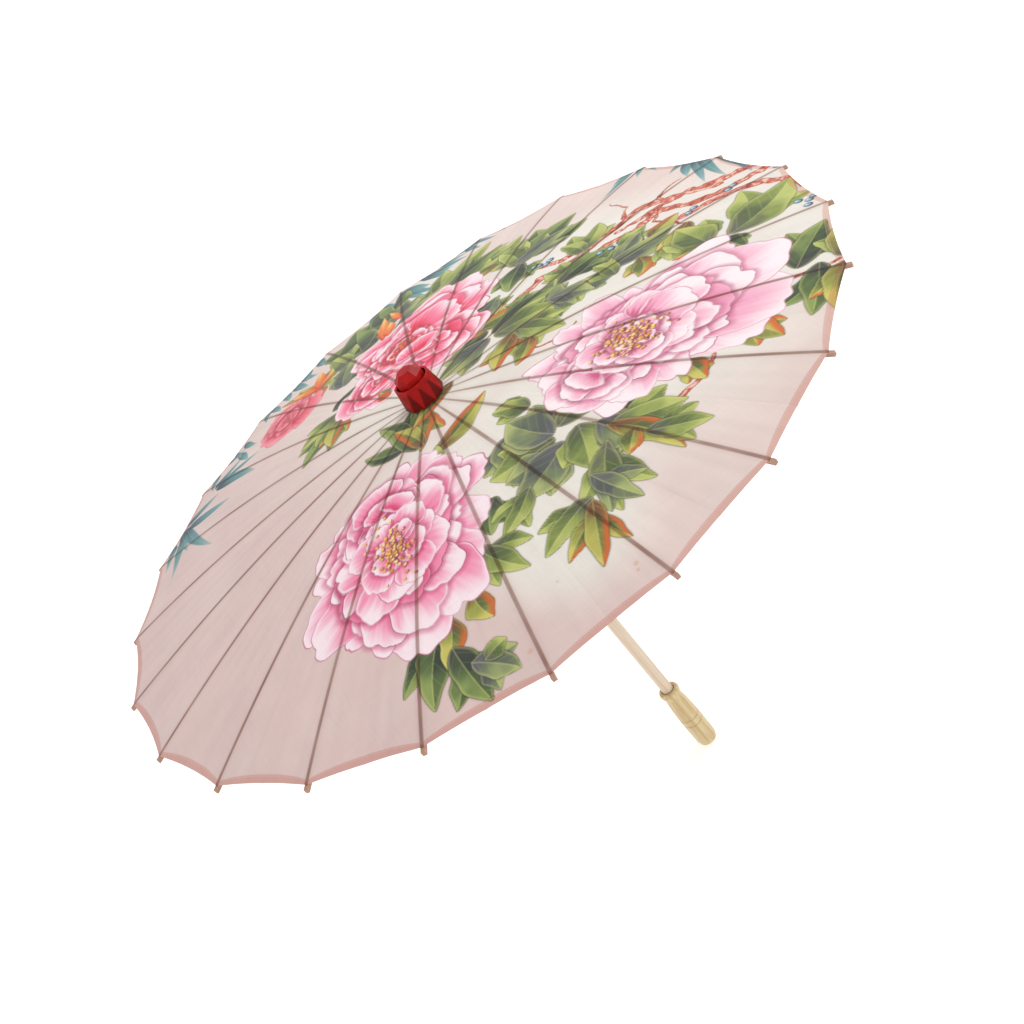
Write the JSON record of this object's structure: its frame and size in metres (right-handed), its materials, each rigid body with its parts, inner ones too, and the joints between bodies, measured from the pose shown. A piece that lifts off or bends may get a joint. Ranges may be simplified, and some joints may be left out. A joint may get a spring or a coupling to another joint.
{
  "type": "folding parasol",
  "caption": "Open folding parasol: printed cloth cover on arched wooden ribs and stretchers, slotted hub and sliding runner, faceted red finial and turned wooden handle.",
  "frame": {"origin": "middle of the flat end of the handle", "axes": "+Z along the shaft from the handle to the finial; +X along rib_01; the ribs are numbered anticlockwise seen from above"},
  "size_m": [0.82, 0.8122, 0.5802],
  "materials": {
    "pale_wood": "satin",
    "handle_wood": "satin",
    "bamboo": "satin",
    "hub_wood": "matte",
    "brass_wire": "satin",
    "brass_strip": "satin",
    "lacing_thread": "matte",
    "printed_cloth": "satin",
    "red_lacquer": "gloss"
  },
  "bodies": {
    "frame": {"shaft": "pale_wood", "stop_peg": "bamboo", "hub_peg": "bamboo", "handle": "handle_wood", "top_hub": "hub_wood", "hub_lacing": "brass_wire", "canopy": "printed_cloth", "canopy_washer": "red_lacquer", "finial_collar": "red_lacquer", "finial_knob": "red_lacquer"},
    "runner": {"runner": "hub_wood", "runner_lacing": "lacing_thread"},
    "catch": {"catch_spring": "brass_strip"},
    "rib_01": {"rib_01": "bamboo"},
    "stretcher_01": {"stretcher_01": "bamboo"},
    "rib_02": {"rib_02": "bamboo"},
    "stretcher_02": {"stretcher_02": "bamboo"},
    "rib_03": {"rib_03": "bamboo"},
    "stretcher_03": {"stretcher_03": "bamboo"},
    "rib_04": {"rib_04": "bamboo"},
    "stretcher_04": {"stretcher_04": "bamboo"},
    "rib_05": {"rib_05": "bamboo"},
    "stretcher_05": {"stretcher_05": "bamboo"},
    "rib_06": {"rib_06": "bamboo"},
    "stretcher_06": {"stretcher_06": "bamboo"},
    "rib_07": {"rib_07": "bamboo"},
    "stretcher_07": {"stretcher_07": "bamboo"},
    "rib_08": {"rib_08": "bamboo"},
    "stretcher_08": {"stretcher_08": "bamboo"},
    "rib_09": {"rib_09": "bamboo"},
    "stretcher_09": {"stretcher_09": "bamboo"},
    "rib_10": {"rib_10": "bamboo"},
    "stretcher_10": {"stretcher_10": "bamboo"},
    "rib_11": {"rib_11": "bamboo"},
    "stretcher_11": {"stretcher_11": "bamboo"},
    "rib_12": {"rib_12": "bamboo"},
    "stretcher_12": {"stretcher_12": "bamboo"},
    "rib_13": {"rib_13": "bamboo"},
    "stretcher_13": {"stretcher_13": "bamboo"},
    "rib_14": {"rib_14": "bamboo"},
    "stretcher_14": {"stretcher_14": "bamboo"},
    "rib_15": {"rib_15": "bamboo"},
    "stretcher_15": {"stretcher_15": "bamboo"},
    "rib_16": {"rib_16": "bamboo"},
    "stretcher_16": {"stretcher_16": "bamboo"},
    "rib_17": {"rib_17": "bamboo"},
    "stretcher_17": {"stretcher_17": "bamboo"},
    "rib_18": {"rib_18": "bamboo"},
    "stretcher_18": {"stretcher_18": "bamboo"},
    "rib_19": {"rib_19": "bamboo"},
    "stretcher_19": {"stretcher_19": "bamboo"},
    "rib_20": {"rib_20": "bamboo"},
    "stretcher_20": {"stretcher_20": "bamboo"},
    "rib_21": {"rib_21": "bamboo"},
    "stretcher_21": {"stretcher_21": "bamboo"},
    "rib_22": {"rib_22": "bamboo"},
    "stretcher_22": {"stretcher_22": "bamboo"}
  },
  "joints": [
    {"name": "runner_slide", "type": "slide", "parent": "frame", "child": "runner", "axis": [0, 0, 1], "range_m": [-0.25354, 0], "deforming": ["canopy", "runner_lacing"]},
    {"name": "catch_press", "type": "slide", "parent": "frame", "child": "catch", "axis": [0, -1, 0], "range_m": [0, 0.0033], "stiffness_N_per_m": 300, "deforming": ["catch_spring"]},
    {"name": "rib_01_fold", "type": "hinge", "parent": "frame", "child": "rib_01", "pos_m": [0.013, 0, 0.5398], "axis": [0, 1, 0], "range_deg": [0, 81.57]},
    {"name": "stretcher_01_fold", "type": "hinge", "parent": "rib_01", "child": "stretcher_01", "pos_m": [0.18, 0, 0.52613], "axis": [0, 1, 0], "range_deg": [-140.21, 0]},
    {"name": "rib_02_fold", "type": "hinge", "parent": "frame", "child": "rib_02", "pos_m": [0.01247, 0.00366, 0.5398], "axis": [-0.2817, 0.9595, 0], "range_deg": [0, 81.57]},
    {"name": "stretcher_02_fold", "type": "hinge", "parent": "rib_02", "child": "stretcher_02", "pos_m": [0.17271, 0.05071, 0.52613], "axis": [-0.2817, 0.9595, 0], "range_deg": [-140.21, 0]},
    {"name": "rib_03_fold", "type": "hinge", "parent": "frame", "child": "rib_03", "pos_m": [0.01094, 0.00703, 0.5398], "axis": [-0.5406, 0.8413, 0], "range_deg": [0, 81.57]},
    {"name": "stretcher_03_fold", "type": "hinge", "parent": "rib_03", "child": "stretcher_03", "pos_m": [0.15143, 0.09732, 0.52613], "axis": [-0.5406, 0.8413, 0], "range_deg": [-140.21, 0]},
    {"name": "rib_04_fold", "type": "hinge", "parent": "frame", "child": "rib_04", "pos_m": [0.00851, 0.00982, 0.5398], "axis": [-0.7557, 0.6549, 0], "range_deg": [0, 81.57]},
    {"name": "stretcher_04_fold", "type": "hinge", "parent": "rib_04", "child": "stretcher_04", "pos_m": [0.11787, 0.13603, 0.52613], "axis": [-0.7557, 0.6549, 0], "range_deg": [-140.21, 0]},
    {"name": "rib_05_fold", "type": "hinge", "parent": "frame", "child": "rib_05", "pos_m": [0.0054, 0.01183, 0.5398], "axis": [-0.9096, 0.4154, 0], "range_deg": [0, 81.57]},
    {"name": "stretcher_05_fold", "type": "hinge", "parent": "rib_05", "child": "stretcher_05", "pos_m": [0.07477, 0.16373, 0.52613], "axis": [-0.9096, 0.4154, 0], "range_deg": [-140.21, 0]},
    {"name": "rib_06_fold", "type": "hinge", "parent": "frame", "child": "rib_06", "pos_m": [0.00185, 0.01287, 0.5398], "axis": [-0.9898, 0.1423, 0], "range_deg": [0, 81.57]},
    {"name": "stretcher_06_fold", "type": "hinge", "parent": "rib_06", "child": "stretcher_06", "pos_m": [0.02562, 0.17817, 0.52613], "axis": [-0.9898, 0.1423, 0], "range_deg": [-140.21, 0]},
    {"name": "rib_07_fold", "type": "hinge", "parent": "frame", "child": "rib_07", "pos_m": [-0.00185, 0.01287, 0.5398], "axis": [-0.9898, -0.1423, 0], "range_deg": [0, 81.57]},
    {"name": "stretcher_07_fold", "type": "hinge", "parent": "rib_07", "child": "stretcher_07", "pos_m": [-0.02562, 0.17817, 0.52613], "axis": [-0.9898, -0.1423, 0], "range_deg": [-140.21, 0]},
    {"name": "rib_08_fold", "type": "hinge", "parent": "frame", "child": "rib_08", "pos_m": [-0.0054, 0.01183, 0.5398], "axis": [-0.9096, -0.4154, 0], "range_deg": [0, 81.57]},
    {"name": "stretcher_08_fold", "type": "hinge", "parent": "rib_08", "child": "stretcher_08", "pos_m": [-0.07477, 0.16373, 0.52613], "axis": [-0.9096, -0.4154, 0], "range_deg": [-140.21, 0]},
    {"name": "rib_09_fold", "type": "hinge", "parent": "frame", "child": "rib_09", "pos_m": [-0.00851, 0.00982, 0.5398], "axis": [-0.7557, -0.6549, 0], "range_deg": [0, 81.57]},
    {"name": "stretcher_09_fold", "type": "hinge", "parent": "rib_09", "child": "stretcher_09", "pos_m": [-0.11787, 0.13603, 0.52613], "axis": [-0.7557, -0.6549, 0], "range_deg": [-140.21, 0]},
    {"name": "rib_10_fold", "type": "hinge", "parent": "frame", "child": "rib_10", "pos_m": [-0.01094, 0.00703, 0.5398], "axis": [-0.5406, -0.8413, 0], "range_deg": [0, 81.57]},
    {"name": "stretcher_10_fold", "type": "hinge", "parent": "rib_10", "child": "stretcher_10", "pos_m": [-0.15143, 0.09732, 0.52613], "axis": [-0.5406, -0.8413, 0], "range_deg": [-140.21, 0]},
    {"name": "rib_11_fold", "type": "hinge", "parent": "frame", "child": "rib_11", "pos_m": [-0.01247, 0.00366, 0.5398], "axis": [-0.2817, -0.9595, 0], "range_deg": [0, 81.57]},
    {"name": "stretcher_11_fold", "type": "hinge", "parent": "rib_11", "child": "stretcher_11", "pos_m": [-0.17271, 0.05071, 0.52613], "axis": [-0.2817, -0.9595, 0], "range_deg": [-140.21, 0]},
    {"name": "rib_12_fold", "type": "hinge", "parent": "frame", "child": "rib_12", "pos_m": [-0.013, 0, 0.5398], "axis": [0, -1, 0], "range_deg": [0, 81.57]},
    {"name": "stretcher_12_fold", "type": "hinge", "parent": "rib_12", "child": "stretcher_12", "pos_m": [-0.18, 0, 0.52613], "axis": [0, -1, 0], "range_deg": [-140.21, 0]},
    {"name": "rib_13_fold", "type": "hinge", "parent": "frame", "child": "rib_13", "pos_m": [-0.01247, -0.00366, 0.5398], "axis": [0.2817, -0.9595, 0], "range_deg": [0, 81.57]},
    {"name": "stretcher_13_fold", "type": "hinge", "parent": "rib_13", "child": "stretcher_13", "pos_m": [-0.17271, -0.05071, 0.52613], "axis": [0.2817, -0.9595, 0], "range_deg": [-140.21, 0]},
    {"name": "rib_14_fold", "type": "hinge", "parent": "frame", "child": "rib_14", "pos_m": [-0.01094, -0.00703, 0.5398], "axis": [0.5406, -0.8413, 0], "range_deg": [0, 81.57]},
    {"name": "stretcher_14_fold", "type": "hinge", "parent": "rib_14", "child": "stretcher_14", "pos_m": [-0.15143, -0.09732, 0.52613], "axis": [0.5406, -0.8413, 0], "range_deg": [-140.21, 0]},
    {"name": "rib_15_fold", "type": "hinge", "parent": "frame", "child": "rib_15", "pos_m": [-0.00851, -0.00982, 0.5398], "axis": [0.7557, -0.6549, 0], "range_deg": [0, 81.57]},
    {"name": "stretcher_15_fold", "type": "hinge", "parent": "rib_15", "child": "stretcher_15", "pos_m": [-0.11787, -0.13603, 0.52613], "axis": [0.7557, -0.6549, 0], "range_deg": [-140.21, 0]},
    {"name": "rib_16_fold", "type": "hinge", "parent": "frame", "child": "rib_16", "pos_m": [-0.0054, -0.01183, 0.5398], "axis": [0.9096, -0.4154, 0], "range_deg": [0, 81.57]},
    {"name": "stretcher_16_fold", "type": "hinge", "parent": "rib_16", "child": "stretcher_16", "pos_m": [-0.07477, -0.16373, 0.52613], "axis": [0.9096, -0.4154, 0], "range_deg": [-140.21, 0]},
    {"name": "rib_17_fold", "type": "hinge", "parent": "frame", "child": "rib_17", "pos_m": [-0.00185, -0.01287, 0.5398], "axis": [0.9898, -0.1423, 0], "range_deg": [0, 81.57]},
    {"name": "stretcher_17_fold", "type": "hinge", "parent": "rib_17", "child": "stretcher_17", "pos_m": [-0.02562, -0.17817, 0.52613], "axis": [0.9898, -0.1423, 0], "range_deg": [-140.21, 0]},
    {"name": "rib_18_fold", "type": "hinge", "parent": "frame", "child": "rib_18", "pos_m": [0.00185, -0.01287, 0.5398], "axis": [0.9898, 0.1423, 0], "range_deg": [0, 81.57]},
    {"name": "stretcher_18_fold", "type": "hinge", "parent": "rib_18", "child": "stretcher_18", "pos_m": [0.02562, -0.17817, 0.52613], "axis": [0.9898, 0.1423, 0], "range_deg": [-140.21, 0]},
    {"name": "rib_19_fold", "type": "hinge", "parent": "frame", "child": "rib_19", "pos_m": [0.0054, -0.01183, 0.5398], "axis": [0.9096, 0.4154, 0], "range_deg": [0, 81.57]},
    {"name": "stretcher_19_fold", "type": "hinge", "parent": "rib_19", "child": "stretcher_19", "pos_m": [0.07477, -0.16373, 0.52613], "axis": [0.9096, 0.4154, 0], "range_deg": [-140.21, 0]},
    {"name": "rib_20_fold", "type": "hinge", "parent": "frame", "child": "rib_20", "pos_m": [0.00851, -0.00982, 0.5398], "axis": [0.7557, 0.6549, 0], "range_deg": [0, 81.57]},
    {"name": "stretcher_20_fold", "type": "hinge", "parent": "rib_20", "child": "stretcher_20", "pos_m": [0.11787, -0.13603, 0.52613], "axis": [0.7557, 0.6549, 0], "range_deg": [-140.21, 0]},
    {"name": "rib_21_fold", "type": "hinge", "parent": "frame", "child": "rib_21", "pos_m": [0.01094, -0.00703, 0.5398], "axis": [0.5406, 0.8413, 0], "range_deg": [0, 81.57]},
    {"name": "stretcher_21_fold", "type": "hinge", "parent": "rib_21", "child": "stretcher_21", "pos_m": [0.15143, -0.09732, 0.52613], "axis": [0.5406, 0.8413, 0], "range_deg": [-140.21, 0]},
    {"name": "rib_22_fold", "type": "hinge", "parent": "frame", "child": "rib_22", "pos_m": [0.01247, -0.00366, 0.5398], "axis": [0.2817, 0.9595, 0], "range_deg": [0, 81.57]},
    {"name": "stretcher_22_fold", "type": "hinge", "parent": "rib_22", "child": "stretcher_22", "pos_m": [0.17271, -0.05071, 0.52613], "axis": [0.2817, 0.9595, 0], "range_deg": [-140.21, 0]}
  ],
  "couplings": [
    {"joint": "rib_01_fold", "follows": "runner_slide", "rad_per_m": -5.6118},
    {"joint": "stretcher_01_fold", "follows": "runner_slide", "rad_per_m": 9.6481},
    {"joint": "rib_02_fold", "follows": "runner_slide", "rad_per_m": -5.6118},
    {"joint": "stretcher_02_fold", "follows": "runner_slide", "rad_per_m": 9.6481},
    {"joint": "rib_03_fold", "follows": "runner_slide", "rad_per_m": -5.6118},
    {"joint": "stretcher_03_fold", "follows": "runner_slide", "rad_per_m": 9.6481},
    {"joint": "rib_04_fold", "follows": "runner_slide", "rad_per_m": -5.6118},
    {"joint": "stretcher_04_fold", "follows": "runner_slide", "rad_per_m": 9.6481},
    {"joint": "rib_05_fold", "follows": "runner_slide", "rad_per_m": -5.6118},
    {"joint": "stretcher_05_fold", "follows": "runner_slide", "rad_per_m": 9.6481},
    {"joint": "rib_06_fold", "follows": "runner_slide", "rad_per_m": -5.6118},
    {"joint": "stretcher_06_fold", "follows": "runner_slide", "rad_per_m": 9.6481},
    {"joint": "rib_07_fold", "follows": "runner_slide", "rad_per_m": -5.6118},
    {"joint": "stretcher_07_fold", "follows": "runner_slide", "rad_per_m": 9.6481},
    {"joint": "rib_08_fold", "follows": "runner_slide", "rad_per_m": -5.6118},
    {"joint": "stretcher_08_fold", "follows": "runner_slide", "rad_per_m": 9.6481},
    {"joint": "rib_09_fold", "follows": "runner_slide", "rad_per_m": -5.6118},
    {"joint": "stretcher_09_fold", "follows": "runner_slide", "rad_per_m": 9.6481},
    {"joint": "rib_10_fold", "follows": "runner_slide", "rad_per_m": -5.6118},
    {"joint": "stretcher_10_fold", "follows": "runner_slide", "rad_per_m": 9.6481},
    {"joint": "rib_11_fold", "follows": "runner_slide", "rad_per_m": -5.6118},
    {"joint": "stretcher_11_fold", "follows": "runner_slide", "rad_per_m": 9.6481},
    {"joint": "rib_12_fold", "follows": "runner_slide", "rad_per_m": -5.6118},
    {"joint": "stretcher_12_fold", "follows": "runner_slide", "rad_per_m": 9.6481},
    {"joint": "rib_13_fold", "follows": "runner_slide", "rad_per_m": -5.6118},
    {"joint": "stretcher_13_fold", "follows": "runner_slide", "rad_per_m": 9.6481},
    {"joint": "rib_14_fold", "follows": "runner_slide", "rad_per_m": -5.6118},
    {"joint": "stretcher_14_fold", "follows": "runner_slide", "rad_per_m": 9.6481},
    {"joint": "rib_15_fold", "follows": "runner_slide", "rad_per_m": -5.6118},
    {"joint": "stretcher_15_fold", "follows": "runner_slide", "rad_per_m": 9.6481},
    {"joint": "rib_16_fold", "follows": "runner_slide", "rad_per_m": -5.6118},
    {"joint": "stretcher_16_fold", "follows": "runner_slide", "rad_per_m": 9.6481},
    {"joint": "rib_17_fold", "follows": "runner_slide", "rad_per_m": -5.6118},
    {"joint": "stretcher_17_fold", "follows": "runner_slide", "rad_per_m": 9.6481},
    {"joint": "rib_18_fold", "follows": "runner_slide", "rad_per_m": -5.6118},
    {"joint": "stretcher_18_fold", "follows": "runner_slide", "rad_per_m": 9.6481},
    {"joint": "rib_19_fold", "follows": "runner_slide", "rad_per_m": -5.6118},
    {"joint": "stretcher_19_fold", "follows": "runner_slide", "rad_per_m": 9.6481},
    {"joint": "rib_20_fold", "follows": "runner_slide", "rad_per_m": -5.6118},
    {"joint": "stretcher_20_fold", "follows": "runner_slide", "rad_per_m": 9.6481},
    {"joint": "rib_21_fold", "follows": "runner_slide", "rad_per_m": -5.6118},
    {"joint": "stretcher_21_fold", "follows": "runner_slide", "rad_per_m": 9.6481},
    {"joint": "rib_22_fold", "follows": "runner_slide", "rad_per_m": -5.6118},
    {"joint": "stretcher_22_fold", "follows": "runner_slide", "rad_per_m": 9.6481}
  ]
}
